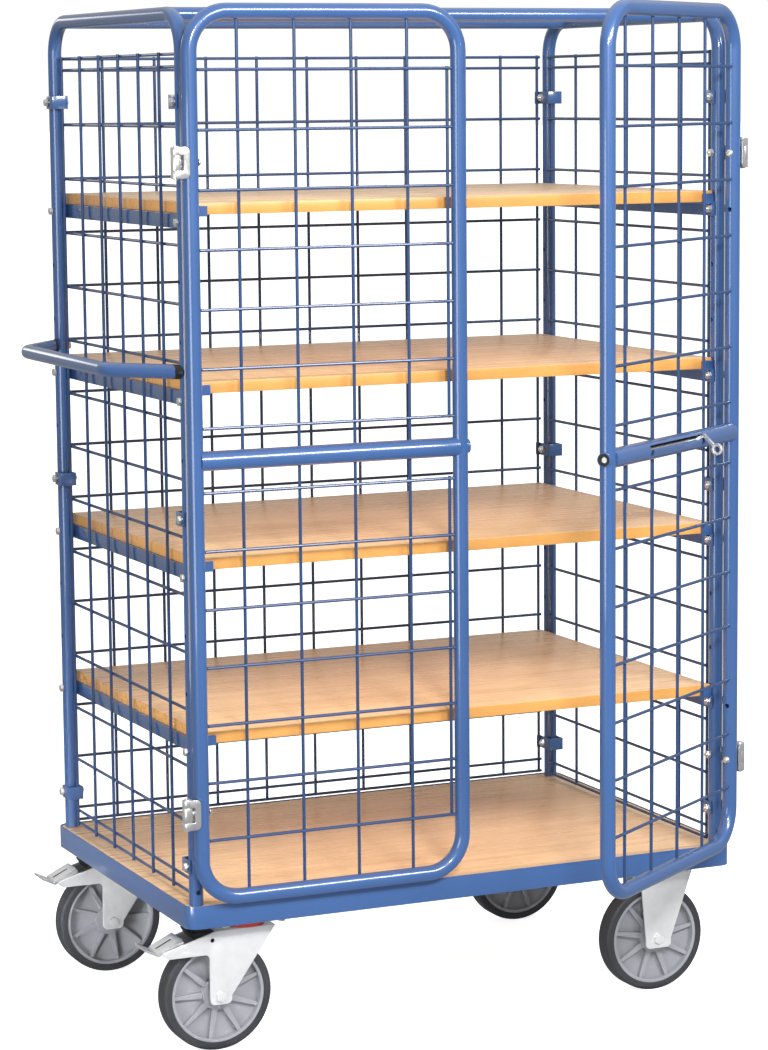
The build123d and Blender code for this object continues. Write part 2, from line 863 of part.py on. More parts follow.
# Hinge halves that stay with the posts
def post_leaf(side, level):
    """Post half of a hinge: middle knuckle, strap to the post and a bolted foot."""
    foot_u = hinge_out_x - tube_radius - leaf_sheet / 2
    start = (0, barrel_radius - leaf_sheet / 2)
    points = [start, (foot_u, leaf_knee), (foot_u, hinge_out_y + leaf_foot)]
    world = [door_point(side, 0, u, w, 0)[:2] for u, w in points]
    half = knuckle_height / 2 - knuckle_gap
    with BuildPart() as leaf:
        with BuildSketch(Plane.XY.offset(level - half)):
            with BuildLine():
                FilletPolyline(*world, radius=leaf_corner)
            trace(line_width=leaf_sheet)
            with Locations(door_point(side, 0, 0, 0, 0)[:2]):
                Circle(barrel_radius)
                Circle(pin_diameter / 2, mode=Mode.SUBTRACT)
        extrude(amount=2 * half)
    return leaf.part


hinge_places = [(side, hole_levels[row]) for side in (-1, 1) for row in hinge_rows]
with BuildPart() as hinge_leaves:
    add([post_leaf(side, level) for side, level in hinge_places])

with BuildPart() as hinge_pins:
    with Locations(*[(side * hinge_x, -hinge_y, level) for side, level in hinge_places]):
        Cylinder(pin_diameter / 2, pin_length)

hinge_grip = tube_diameter + leaf_sheet + weld_gap
hinge_seat = post_x + tube_radius + leaf_sheet
with BuildPart() as hinge_bolts:
    for side, level in hinge_places:
        seat = Plane(origin=(side * hinge_seat, -post_y, level), z_dir=(-side, 0, 0))
        add([seat.location * block for block in bolt_ends(hinge_grip)])


# Casters
def fixed_fork(y):
    """Fixed caster: top plate and two legs that taper to the axle."""
    x = fixed_axle_x
    z = axle_height
    outline = [
        (x - fixed_leg_in, plate_bottom),
        (x - fixed_foot_half, z),
        (x - fixed_foot_half, z - fixed_foot_drop),
        (x + fixed_foot_half, z - fixed_foot_drop),
        (x + fixed_foot_half, z),
        (x + fixed_leg_out, plate_bottom),
    ]
    with BuildPart() as fork:
        with BuildSketch(Plane.XY.offset(plate_bottom)):
            with Locations((caster_x, y)):
                RectangleRounded(plate_length, plate_width, plate_corner)
        extrude(amount=plate_sheet)
        for side in (-1, 1):
            with BuildSketch(Plane.XZ.offset(-y - side * (fork_half + fork_sheet / 2))):
                with BuildLine():
                    Polyline(*outline, close=True)
                make_face()
                fillet([v for v in vertices() if v.Y < z], fork_round)
            extrude(amount=fork_sheet / 2, both=True)
        with BuildSketch(Plane.XY.offset(plate_bottom)):
            with Locations((x + (fixed_leg_out - fixed_leg_in) / 2, y)):
                Rectangle(fixed_leg_out + fixed_leg_in, fork_gap)
        extrude(amount=-fork_sheet)
        with Locations((x, y, z)):
            Cylinder(
                axle_diameter / 2 + fit_gap, 2 * fork_gap, rotation=(90, 0, 0), mode=Mode.SUBTRACT
            )
    return fork.part


def swivel_plate(y):
    """Top plate, head and kingpin of a swivel caster."""
    with BuildPart() as plate:
        with BuildSketch(Plane.XY.offset(plate_bottom)):
            with Locations((-caster_x, y)):
                RectangleRounded(plate_length, plate_width, plate_corner)
        extrude(amount=plate_sheet)
        with BuildSketch(Plane.XY.offset(head_bottom)):
            with Locations((-caster_x, y)):
                Circle(head_diameter / 2)
        extrude(amount=head_height)
        with BuildSketch(Plane.XY.offset(head_bottom)):
            with Locations((-caster_x, y)):
                Circle(axle_diameter / 2)
        extrude(amount=crown_bottom - fit_gap - kingpin_nut - head_bottom)
        with BuildSketch(Plane.XY.offset(crown_bottom - fit_gap)):
            with Locations((-caster_x, y)):
                RegularPolygon(kingpin_flats / 2, 6, major_radius=False)
        extrude(amount=-kingpin_nut)
    return plate.part


def swivel_fork(y):
    """Swivel fork: crown, legs to the trailing axle and pointed lobes that carry the pedal."""
    x = -caster_x
    z = axle_height
    foot_front = swivel_axle_x + swivel_foot_half
    foot_back = swivel_axle_x - swivel_foot_half
    pivot_x = x - brake_pivot_x
    lobe_tip = x - lobe_length
    lobe_low = fork_top - lobe_drop
    outline = [
        (x + crown_front, fork_top),
        (foot_front, z),
        (foot_front, z - swivel_foot_drop),
        (foot_back, z - swivel_foot_drop),
        (foot_back, lobe_low),
        (lobe_tip + lobe_chin, lobe_low),
        (lobe_tip, fork_top - lobe_tip_drop),
        (x - crown_back, fork_top),
    ]
    with BuildPart() as fork:
        for side in (-1, 1):
            with BuildSketch(Plane.XZ.offset(-y - side * (fork_half + fork_sheet / 2))):
                with BuildLine():
                    Polyline(*outline, close=True)
                make_face()
                fillet([v for v in vertices() if v.X < pivot_x], lobe_round)
                rounded = [v for v in vertices() if v.Y < z]
                rounded += [v for v in vertices() if v.Y > z and abs(v.X - foot_back) < fit_gap]
                fillet(rounded, fork_round)
            extrude(amount=fork_sheet / 2, both=True)
        with BuildSketch(Plane.XY.offset(crown_bottom)):
            with Locations((x + (crown_front - crown_back) / 2, y)):
                Rectangle(crown_front + crown_back, fork_gap)
        extrude(amount=fork_sheet)
        with Locations((x, y, fork_top)):
            Cylinder(axle_diameter / 2 + axle_running, fork_gap, mode=Mode.SUBTRACT)
        with Locations((swivel_axle_x, y, z)):
            Cylinder(
                axle_diameter / 2 + fit_gap, 2 * fork_gap, rotation=(90, 0, 0), mode=Mode.SUBTRACT
            )
        with Locations((pivot_x, y, brake_pivot_z)):
            Cylinder(brake_pin / 2, 2 * fork_gap, rotation=(90, 0, 0), mode=Mode.SUBTRACT)
        with Locations((x - spy_hole_back, y, fork_top - spy_hole_drop)):
            Cylinder(spy_hole / 2, 2 * fork_gap, rotation=(90, 0, 0), mode=Mode.SUBTRACT)
    return fork


def seal_ring(y):
    """Red seal between the crown and the head."""
    with BuildPart() as ring:
        with BuildSketch(Plane.XY.offset(fork_top)):
            with Locations((-caster_x, y)):
                Circle(seal_diameter / 2)
                Circle(seal_hole / 2, mode=Mode.SUBTRACT)
        extrude(amount=seal_height)
    return ring


with BuildPart() as axle_bolt:
    with BuildSketch():
        Circle(axle_diameter / 2)
    extrude(amount=axle_grip)
    add(hex_block(axle_flats, -axle_head))
    add(Location((0, 0, axle_grip)) * hex_block(axle_flats, axle_head))


def axle_at(x, y):
    """Axle bolt across a fork."""
    seat = Plane(origin=(x, y - axle_grip / 2, axle_height), z_dir=(0, 1, 0)).location
    return seat * axle_bolt.part


def swivel_axle(y):
    """Axle bolt of a swivel caster as its own piece."""
    with BuildPart() as axle:
        add(axle_at(swivel_axle_x, y))
    return axle


def brake_block(y):
    """Black brake housing behind the crown, between the lobes and over the tyre."""
    back = -caster_x - block_back
    front = -caster_x - block_front
    low = wheel_diameter + block_gap
    with BuildPart() as block:
        with BuildSketch(Plane.XZ.offset(-y)):
            with BuildLine():
                Polyline(
                    (back, fork_top),
                    (front, fork_top),
                    (front, low),
                    (back + block_taper, low),
                    close=True,
                )
            make_face()
        extrude(amount=fork_half - fit_gap, both=True)
    return block


def brake_pedal(y):
    """Foot pedal: barrel on the pivot pin, sloping slotted plate, a step and a turned-up lip."""
    x = -caster_x - brake_pivot_x
    z = brake_pivot_z
    fold_x = x - pedal_fold_back
    fold_z = z - pedal_fold_drop
    lip_x = x - pedal_lip_back
    lip_z = z + pedal_lip_rise
    outline = [
        (x + pedal_neck, z),
        (x - pedal_neck, z + pedal_top_rise),
        (fold_x, fold_z),
        (fold_x, fold_z - pedal_step),
        (lip_x, lip_z),
        (lip_x, lip_z - pedal_sheet),
        (fold_x, fold_z - pedal_step - pedal_sheet),
        (x - 2 * pedal_neck, z + pedal_top_rise - pedal_step - 2 * pedal_sheet),
        (x - pedal_neck, z),
    ]
    with BuildPart() as pedal:
        with BuildSketch(Plane.XZ.offset(-y)):
            with BuildLine():
                Polyline(*outline, close=True)
            make_face()
            with Locations((x, z)):
                Circle(pedal_barrel / 2)
                Circle(brake_pin / 2 + brake_running, mode=Mode.SUBTRACT)
        extrude(amount=pedal_width / 2, both=True)
        with Locations((x - pedal_slot_at, y, z)):
            Box(pedal_slot_length, pedal_slot_width, 4 * pedal_barrel, mode=Mode.SUBTRACT)
    return pedal


def brake_pin_piece(y):
    """Pivot pin of the pedal, pressed into the fork lobes."""
    with BuildPart() as pin:
        with Locations((-caster_x - brake_pivot_x, y, brake_pivot_z)):
            Cylinder(brake_pin / 2, axle_grip, rotation=(90, 0, 0))
    return pin


def wheel_core(x, y, turn):
    """Spoked wheel centre: rim, web, tapered spokes and hub, stopped at a turn."""
    turn_plane = Plane(origin=(x, y, axle_height), x_dir=(1, 0, 0), z_dir=(0, -1, 0))
    root = rim_inner + spoke_root
    spoke = make_face(
        Polyline(
            (0, -spoke_width_hub / 2),
            (root, -spoke_width_rim / 2),
            (root, spoke_width_rim / 2),
            (0, spoke_width_hub / 2),
            close=True,
        )
    )
    with BuildPart() as core:
        with BuildSketch(turn_plane):
            Circle(rim_diameter / 2)
            Circle(rim_inner, mode=Mode.SUBTRACT)
        extrude(amount=rim_width / 2, both=True)
        with BuildSketch(turn_plane):
            Circle(root)
        extrude(amount=web_thickness / 2, both=True)
        with BuildSketch(turn_plane):
            with PolarLocations(0, spoke_count, start_angle=turn):
                add(spoke)
        extrude(amount=spoke_height / 2, both=True)
        with BuildSketch(turn_plane):
            Circle(hub_diameter / 2)
        extrude(amount=hub_height / 2, both=True)
        with BuildSketch(turn_plane):
            Circle(hub_boss / 2)
        extrude(amount=hub_half, both=True)
        with Locations((x, y, axle_height)):
            Cylinder(
                axle_diameter / 2 + axle_running, 2 * fork_gap, rotation=(90, 0, 0), mode=Mode.SUBTRACT
            )
    return core


def tyre(x, y):
    """Rubber tyre with bevelled shoulders."""
    half = tyre_width / 2
    tread = wheel_diameter / 2
    seat = rim_diameter / 2
    axis = Axis((x, y, axle_height), (0, 1, 0))
    with BuildPart() as ring:
        with BuildSketch(Plane(origin=(x, y, axle_height), x_dir=(0, 1, 0), z_dir=(1, 0, 0))):
            with BuildLine():
                Polyline((-half, tread), (-half, seat), (half, seat), (half, tread), close=True)
            make_face()
            chamfer([v for v in vertices() if v.Y > (seat + tread) / 2], tyre_shoulder)
        revolve(axis=axis)
    return ring


with BuildPart() as fixed_forks:
    add([fixed_fork(y) for y in (-caster_y, caster_y)])

with BuildPart() as fixed_axles:
    add([axle_at(fixed_axle_x, y) for y in (-caster_y, caster_y)])

with BuildPart() as swivel_plates:
    add([swivel_plate(y) for y in (-caster_y, caster_y)])

screw_spots = [
    (sx * caster_x + px * plate_bolt_x, sy * caster_y + py * plate_bolt_y, plate_bottom)
    for sx, sy in corners
    for px, py in corners
]
with BuildPart() as plate_screws:
    add([Location(spot) * hex_block(bolt_flats, -bolt_head) for spot in screw_spots])

swivel_fork_front = swivel_fork(-caster_y)
swivel_fork_rear = swivel_fork(caster_y)
seal_ring_front = seal_ring(-caster_y)
seal_ring_rear = seal_ring(caster_y)
swivel_axle_front = swivel_axle(-caster_y)
swivel_axle_rear = swivel_axle(caster_y)
brake_block_front = brake_block(-caster_y)
brake_block_rear = brake_block(caster_y)
brake_pedal_front = brake_pedal(-caster_y)
brake_pedal_rear = brake_pedal(caster_y)
brake_pin_front = brake_pin_piece(-caster_y)
brake_pin_rear = brake_pin_piece(caster_y)
wheel_left_front = wheel_core(swivel_axle_x, -caster_y, spoke_turn_front)
wheel_left_rear = wheel_core(swivel_axle_x, caster_y, spoke_turn_rear)
wheel_right_front = wheel_core(fixed_axle_x, -caster_y, spoke_turn_fixed)
wheel_right_rear = wheel_core(fixed_axle_x, caster_y, spoke_turn_fixed)
tyre_left_front = tyre(swivel_axle_x, -caster_y)
tyre_left_rear = tyre(swivel_axle_x, caster_y)
tyre_right_front = tyre(fixed_axle_x, -caster_y)
tyre_right_rear = tyre(fixed_axle_x, caster_y)

# Files: one per piece
pieces = {
    "base_frame": base_frame,
    "deck": deck,
    "end_frame_left": end_frame_left,
    "end_frame_right": end_frame_right,
    "top_tube_front": top_tube_front,
    "top_tube_rear": top_tube_rear,
    "rear_mesh": rear_mesh,
    "left_mesh": left_mesh,
    "right_mesh": right_mesh,
    "mesh_clips": mesh_clips,
    "clip_bolts": clip_bolts,
    "rails_left": rails_left,
    "rails_right": rails_right,
    "rail_bolts": rail_bolts,
    "shelf_1": shelf_1,
    "shelf_2": shelf_2,
    "shelf_3": shelf_3,
    "shelf_4": shelf_4,
    "handle": handle,
    "handle_plugs": handle_plugs,
    "handle_screws": handle_screws,
    "left_door_frame": left_door_frame,
    "left_door_mesh": left_door_mesh,
    "left_door_leaves": left_door_leaves,
    "left_door_bolts": left_door_bolts,
    "right_door_frame": right_door_frame,
    "right_door_mesh": right_door_mesh,
    "right_door_leaves": right_door_leaves,
    "right_door_bolts": right_door_bolts,
    "lock_bushes": lock_bushes,
    "lock_bolt": lock_bolt,
    "lock_lever": lock_lever,
    "hinge_leaves": hinge_leaves,
    "hinge_pins": hinge_pins,
    "hinge_bolts": hinge_bolts,
    "fixed_forks": fixed_forks,
    "fixed_axles": fixed_axles,
    "swivel_plates": swivel_plates,
    "plate_screws": plate_screws,
    "swivel_fork_front": swivel_fork_front,
    "swivel_fork_rear": swivel_fork_rear,
    "seal_ring_front": seal_ring_front,
    "seal_ring_rear": seal_ring_rear,
    "swivel_axle_front": swivel_axle_front,
    "swivel_axle_rear": swivel_axle_rear,
    "brake_block_front": brake_block_front,
    "brake_block_rear": brake_block_rear,
    "brake_pedal_front": brake_pedal_front,
    "brake_pedal_rear": brake_pedal_rear,
    "brake_pin_front": brake_pin_front,
    "brake_pin_rear": brake_pin_rear,
    "wheel_left_front": wheel_left_front,
    "wheel_left_rear": wheel_left_rear,
    "wheel_right_front": wheel_right_front,
    "wheel_right_rear": wheel_right_rear,
    "tyre_left_front": tyre_left_front,
    "tyre_left_rear": tyre_left_rear,
    "tyre_right_front": tyre_right_front,
    "tyre_right_rear": tyre_right_rear,
}
for name, piece in pieces.items():
    piece.part.label = name
    export_step(piece.part, "parts/" + name + ".step")
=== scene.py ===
import json
from math import cos, pi, radians, sin

import bmesh
import bpy
from bpy.props import FloatProperty, FloatVectorProperty, IntProperty, PointerProperty
from mathutils import Matrix, Vector


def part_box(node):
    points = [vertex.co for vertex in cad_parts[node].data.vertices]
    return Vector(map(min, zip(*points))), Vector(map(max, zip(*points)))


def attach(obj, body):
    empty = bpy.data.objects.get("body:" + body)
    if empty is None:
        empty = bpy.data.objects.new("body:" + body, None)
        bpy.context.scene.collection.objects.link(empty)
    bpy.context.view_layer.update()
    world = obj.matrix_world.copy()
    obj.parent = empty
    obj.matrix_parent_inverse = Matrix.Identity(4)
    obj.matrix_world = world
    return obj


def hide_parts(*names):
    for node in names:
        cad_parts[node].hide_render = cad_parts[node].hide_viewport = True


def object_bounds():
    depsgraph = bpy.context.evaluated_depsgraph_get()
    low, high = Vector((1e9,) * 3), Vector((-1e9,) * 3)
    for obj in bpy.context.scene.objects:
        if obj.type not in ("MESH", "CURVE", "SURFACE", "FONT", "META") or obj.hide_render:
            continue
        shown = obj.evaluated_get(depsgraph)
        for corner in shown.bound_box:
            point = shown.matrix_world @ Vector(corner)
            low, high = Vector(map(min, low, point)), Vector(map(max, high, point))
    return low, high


bl_info = {
    "name": "Mesh cage trolley",
    "version": (1, 0, 0),
    "blender": (4, 5, 0),
    "location": "View3D > Sidebar > Trolley",
    "description": "Finishes and fine pieces of a wheeled wire-mesh cage with shelves and doors",
    "category": "Object",
}

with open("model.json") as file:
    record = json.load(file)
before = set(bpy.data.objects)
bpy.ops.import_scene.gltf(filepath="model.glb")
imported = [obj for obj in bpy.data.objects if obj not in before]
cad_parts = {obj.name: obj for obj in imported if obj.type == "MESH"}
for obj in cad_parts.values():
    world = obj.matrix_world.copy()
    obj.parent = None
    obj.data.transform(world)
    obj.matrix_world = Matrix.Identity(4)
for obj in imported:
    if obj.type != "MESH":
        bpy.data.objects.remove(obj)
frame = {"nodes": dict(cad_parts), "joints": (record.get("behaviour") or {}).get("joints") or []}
CAD_LOW, CAD_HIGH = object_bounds()
NODES = frame["nodes"]
JOINTS = {joint["name"]: joint for joint in frame["joints"]}

# Directions, and plain white
RIGHT = Vector((1, 0, 0))
UP = Vector((0, 0, 1))
WHITE = (1.0, 1.0, 1.0, 1.0)

# Points closer than this are one point, in metres
MERGE = 1e-5

# Edges: which ones stay sharp, which ones a bevel rounds, and its steps
CREASE = radians(35)
ROUND_CREASE = radians(50)
BEVEL_FROM = radians(40)
BEVEL_STEPS = 2

# Share of a direction along another from which the two count as the same
FACING = 0.5
FACING_SQUARELY = 0.9

# Sides of the fasteners, and steps of a tyre's shoulder
HEX_SIDES = 6
THREAD_SIDES = 16
ROUND_SIDES = 28
SHOULDER_STEPS = 6

# Shares of a washer's and a dome's height that are rounded, and where the far rim of a drum starts
WASHER_ROUNDING = 1 / 3
DOME_ROUNDING = 0.8
DRUM_TOP = 0.9

# A door bolt's end that lies this far past the middle of the leaves is its domed head, in metres
HEAD_PAST_LEAVES = 0.01

# Part of a noise's values that a finish spreads over its tints, and the relief's depth in metres
NOISE_LOW = 0.3
NOISE_HIGH = 0.7
RELIEF = 0.0003

# Place of each lamp and size of its face, in metres
LAMPS = {
    "front_light": ((-0.95, -3.7, 2.6), (0.5, 0.5)),
    "soft_box": ((1.0, -3.6, 3.0), (2.0, 0.9)),
    "side_light": ((-3.4, -2.4, 0.9), (1.6, 1.7)),
    "floor_bounce": ((-0.4, -1.5, 0.01), (4.4, 2.6)),
    "low_light": ((-2.6, -1.2, 0.35), (0.5, 0.4)),
    "handle_light": ((-1.9, 6.0, 2.7), (3.0, 1.0)),
}
GRID_SPREAD = radians(24)

# Bands of the even light, from 0 straight down to 1 straight up, and half the width of its front edge
GROUND_END = 0.38
HORIZON_START = 0.48
HORIZON_END = 0.66
SKY_START = 0.84
FRONT_EDGE = 0.3

FLOOR_ROUGHNESS = 0.9

# Camera's sensor in millimetres and how far it sees in metres
SENSOR = 36.0
SIGHT = 200.0


class TrolleyFinishes(bpy.types.PropertyGroup):
    """Colours of the trolley's finishes."""

    paint: FloatVectorProperty(
        name="Paint", description="Powder coat of the tubes and the base", subtype="COLOR", min=0, max=1,
        default=(0.038, 0.1, 0.268),
    )
    # The wires' darker tint of the paint is painted shade; the real wires carry the same blue as the tubes.
    wire: FloatVectorProperty(
        name="Wire paint", description="Thinner coat of the wires", subtype="COLOR", min=0, max=1,
        default=(0.023, 0.056, 0.15),
    )
    board: FloatVectorProperty(
        name="Board", description="Face of the beech boards", subtype="COLOR", min=0, max=1,
        default=(0.95, 0.64, 0.37),
    )
    board_edge: FloatVectorProperty(
        name="Board edge", description="Band along the shelves' long edges", subtype="COLOR", min=0, max=1,
        default=(0.7, 0.345, 0.095),
    )
    # The ends' band is a lighter copy of the long edges' band: painted light on the shelves' ends, which get
    # little light.
    board_end_painted_light: FloatVectorProperty(
        name="Board end", description="Band on the shelves' short ends", subtype="COLOR", min=0, max=1,
        default=(0.95, 0.48, 0.145),
    )
    zinc: FloatVectorProperty(
        name="Zinc", description="Zinc plate of the forks", subtype="COLOR", min=0, max=1,
        default=(0.74, 0.745, 0.76),
    )
    steel: FloatVectorProperty(
        name="Steel", description="Bright steel of bolts, hinges, lock and pedals", subtype="COLOR",
        min=0, max=1, default=(0.84, 0.845, 0.84),
    )
    # The washers' dark steel is painted shade: it stands in for the shaded ring round each clip bolt's head.
    washer: FloatVectorProperty(
        name="Washer steel", description="Dark steel of the washers", subtype="COLOR", min=0, max=1,
        default=(0.2, 0.205, 0.23),
    )
    plastic: FloatVectorProperty(
        name="Wheel plastic", description="Moulded wheel centres", subtype="COLOR", min=0, max=1,
        default=(0.27, 0.275, 0.30),
    )
    rubber: FloatVectorProperty(
        name="Rubber", description="Tyres", subtype="COLOR", min=0, max=1,
        default=(0.03, 0.031, 0.037),
    )
    seal: FloatVectorProperty(
        name="Seal", description="Seal rings of the swivel heads", subtype="COLOR", min=0, max=1,
        default=(0.52, 0.035, 0.025),
    )
    # This black also paints shade on the walls of the brake pedals' slots.
    black: FloatVectorProperty(
        name="Black plastic", description="Handle plugs, bushes and brake blocks", subtype="COLOR",
        min=0, max=1, default=(0.006, 0.006, 0.007),
    )


class TrolleySizes(bpy.types.PropertyGroup):
    """Sizes of the fine pieces, in metres."""

    wire_segments: IntProperty(
        name="Wire segments", description="Sides of a round wire", default=10, min=6, max=24
    )
    wire_swell: FloatProperty(
        name="Wire swell", description="Round wires against the six-sided ones of the solids", default=1.1
    )
    washer: FloatProperty(
        name="Washer", description="Diameter of the washers under the clip bolts", unit="LENGTH",
        default=0.0165,
    )
    washer_sheet: FloatProperty(
        name="Washer sheet", description="Thickness of a washer", unit="LENGTH", default=0.0016
    )
    bolt_chamfer: FloatProperty(
        name="Bolt chamfer", description="Bevel on bolt heads and nuts", unit="LENGTH", default=0.0011
    )
    thread: FloatProperty(
        name="Thread", description="Diameter of a bolt's end in its nut", unit="LENGTH", default=0.008
    )
    thread_end: FloatProperty(
        name="Thread end", description="How far a bolt stands out of its nut", unit="LENGTH", default=0.003
    )
    sheet_bevel: FloatProperty(
        name="Sheet bevel", description="Rounding of pressed sheet edges", unit="LENGTH", default=0.0006
    )
    board_bevel: FloatProperty(
        name="Board bevel", description="Rounding of the boards' edges", unit="LENGTH", default=0.0012
    )
    moulding_bevel: FloatProperty(
        name="Moulding bevel", description="Rounding of the wheel centres", unit="LENGTH", default=0.0012
    )
    pedal_slot: FloatProperty(
        name="Pedal slot", description="Width of the slot in a brake pedal", unit="LENGTH", default=0.0045
    )
    shoulder: FloatProperty(
        name="Shoulder", description="Radius of the tyre's shoulders", unit="LENGTH", default=0.006
    )
    tyre_steps: IntProperty(
        name="Tyre steps", description="Segments round a tyre", default=72, min=24, max=160
    )


class TrolleyStage(bpy.types.PropertyGroup):
    """Camera, light and floor."""

    eye: FloatVectorProperty(
        name="Eye", description="Place of the camera", subtype="TRANSLATION", unit="LENGTH",
        default=(-2.3878, -5.3346, 1.6491),
    )
    yaw: FloatProperty(
        name="Yaw", description="Turn to the right of +Y", subtype="ANGLE", default=radians(24.085)
    )
    pitch: FloatProperty(
        name="Pitch", description="Tilt above level", subtype="ANGLE", default=radians(-7.690)
    )
    roll: FloatProperty(
        name="Roll", description="Turn about the view", subtype="ANGLE", default=radians(-0.541)
    )
    lens: FloatProperty(
        name="Lens", description="Focal length in millimetres", unit="CAMERA", default=109.05
    )
    floor: FloatVectorProperty(
        name="Floor", description="Colour of the floor", subtype="COLOR", min=0, max=1,
        default=(0.9, 0.9, 0.9),
    )
    floor_glow: FloatProperty(
        name="Floor glow", description="Own light of the white floor", default=0.8
    )
    floor_size: FloatProperty(
        name="Floor size", description="Width of the floor", unit="LENGTH", default=300.0
    )
    white: FloatProperty(
        name="White", description="Strength of the white backdrop", default=1.05
    )
    horizon: FloatProperty(
        name="Horizon", description="Strength of the even light at eye level", default=0.4
    )
    sky: FloatProperty(
        name="Sky", description="Strength of the even light from above", default=0.95
    )
    ground: FloatProperty(
        name="Ground", description="Strength of the even light from below", default=0.3
    )
    front: FloatProperty(
        name="Front", description="Share of the even light on the camera's side", subtype="FACTOR",
        min=0, max=1, default=0.7,
    )
    key: FloatProperty(
        name="Key", description="Power of the small front light", unit="POWER", default=92.0
    )
    soft: FloatProperty(
        name="Soft", description="Power of the soft box on the right", unit="POWER", default=138.0
    )
    fill: FloatProperty(
        name="Fill", description="Power of the side light", unit="POWER", default=42.0
    )
    low: FloatProperty(
        name="Low", description="Power of the low light on the left casters", unit="POWER", default=1.5
    )
    rim: FloatProperty(
        name="Rim", description="Power of the light behind the handle", unit="POWER", default=0.5
    )
    bounce: FloatProperty(
        name="Bounce", description="Power that the floor throws back", unit="POWER", default=32.0
    )


def finishes():
    """Colours set in the scene."""
    return bpy.context.scene.trolley_finishes


def sizes():
    """Sizes set in the scene."""
    return bpy.context.scene.trolley_sizes


# Materials
def set_stops(ramp, stops):
    """Fills a new colour ramp with (position, colour) pairs."""
    for element, (position, colour) in zip(ramp.elements, (stops[0], stops[-1])):
        element.position = position
        element.color = (*colour, 1.0)
    for position, colour in stops[1:-1]:
        ramp.elements.new(position).color = (*colour, 1.0)


class Finish:
    """A procedural material on the object's own coordinates."""

    def __init__(self, name, metallic=0.0):
        self.material = bpy.data.materials.new(name)
        self.material.use_nodes = True
        self.tree = self.material.node_tree
        self.shader = self.tree.nodes["Principled BSDF"]
        self.shader.inputs["Metallic"].default_value = metallic
        self.place = self.tree.nodes.new("ShaderNodeTexCoord")

    def link(self, start, end):
        """Joins two sockets."""
        self.tree.links.new(start, end)

    def noise(self, scale, detail=3.0, stretch=(1.0, 1.0, 1.0)):
        """Noise of that scale per metre, stretched by a mapping."""
        mapping = self.tree.nodes.new("ShaderNodeMapping")
        mapping.inputs["Scale"].default_value = stretch
        self.link(self.place.outputs["Object"], mapping.inputs["Vector"])
        node = self.tree.nodes.new("ShaderNodeTexNoise")
        node.inputs["Scale"].default_value = scale
        node.inputs["Detail"].default_value = detail
        self.link(mapping.outputs["Vector"], node.inputs["Vector"])
        return node.outputs["Fac"]

    def ramp(self, value, stops):
        """Colour ramp over a value, given as (position, colour) pairs."""
        node = self.tree.nodes.new("ShaderNodeValToRGB")
        set_stops(node.color_ramp, stops)
        self.link(value, node.inputs["Fac"])
        return node.outputs["Color"]

    def multiply(self, share, first, second):
        """A colour darkened by a share of another."""
        node = self.tree.nodes.new("ShaderNodeMix")
        node.data_type = "RGBA"
        node.blend_type = "MULTIPLY"
        node.inputs["Factor"].default_value = share
        self.link(first, node.inputs["A"])
        self.link(second, node.inputs["B"])
        return node.outputs["Result"]

    def colour(self, value):
        """Colour from a node."""
        self.link(value, self.shader.inputs["Base Color"])

    def mottle(self, value, base, dark, light):
        """Colour between a darker and a lighter tint of a base."""
        self.colour(self.ramp(value, [(NOISE_LOW, tint(base, dark)), (NOISE_HIGH, tint(base, light))]))

    def rough(self, value, low, high):
        """Roughness spread from low to high over a value."""
        node = self.tree.nodes.new("ShaderNodeMapRange")
        node.inputs["From Min"].default_value = NOISE_LOW
        node.inputs["From Max"].default_value = NOISE_HIGH
        node.inputs["To Min"].default_value = low
        node.inputs["To Max"].default_value = high
        self.link(value, node.inputs["Value"])
        self.link(node.outputs["Result"], self.shader.inputs["Roughness"])

    def bump(self, value, strength, distance=RELIEF):
        """Relief from a value."""
        node = self.tree.nodes.new("ShaderNodeBump")
        node.inputs["Strength"].default_value = strength
        node.inputs["Distance"].default_value = distance
        self.link(value, node.inputs["Height"])
        self.link(node.outputs["Normal"], self.shader.inputs["Normal"])


def tint(colour, factor):
    """A colour made lighter or darker."""
    return tuple(min(1.0, channel * factor) for channel in colour)


def powder_coat(name, base, gloss):
    """Blue powder coat with a faint orange peel under a gloss."""
    finish = Finish(name)
    patches = finish.noise(scale=5.0)
    finish.mottle(patches, base, dark=0.95, light=1.05)
    finish.rough(patches, low=0.27, high=0.33)
    finish.bump(finish.noise(scale=60.0, detail=0.0), strength=0.04)
    finish.shader.inputs["Coat Weight"].default_value = gloss
    finish.shader.inputs["Coat Roughness"].default_value = 0.07
    return finish.material


def beech(name, base, grain, depth):
    """Beech laminate: long soft grain, and along X finer streaks and flecks as strong as depth says."""
    finish = Finish(name)
    waves = finish.noise(scale=9.0, detail=4.0, stretch=(0.35, 3.2, 3.2))
    streaks = finish.noise(scale=70.0, stretch=(0.06, 1.0, 1.0))
    flecks = finish.noise(scale=330.0, detail=1.0, stretch=(0.12, 1.0, 1.0))
    body = finish.ramp(waves, [(0.25, tint(base, 1.0 - grain)), (0.75, tint(base, 1.0 + 0.5 * grain))])
    lines = finish.ramp(streaks, [(0.3, (0.9, 0.87, 0.84)), (0.62, WHITE[:3])])
    marks = finish.ramp(flecks, [(0.3, (0.75, 0.66, 0.58)), (0.4, WHITE[:3])])
    grained = finish.multiply(0.42 * depth, body, lines)
    finish.colour(finish.multiply(0.28 * depth, grained, marks))
    finish.rough(streaks, low=0.24, high=0.34)
    finish.bump(flecks, strength=0.06 * depth)
    return finish.material


def zinc_plate(name, base):
    """Bright zinc plate with a faint crystal mottle and drawing lines."""
    finish = Finish(name, metallic=0.4)
    finish.mottle(finish.noise(scale=45.0, detail=5.0), base, dark=0.95, light=1.05)
    finish.rough(finish.noise(scale=120.0, detail=2.0), low=0.3, high=0.4)
    finish.bump(finish.noise(scale=300.0, detail=2.0, stretch=(0.2, 1.0, 1.0)), strength=0.05)
    return finish.material


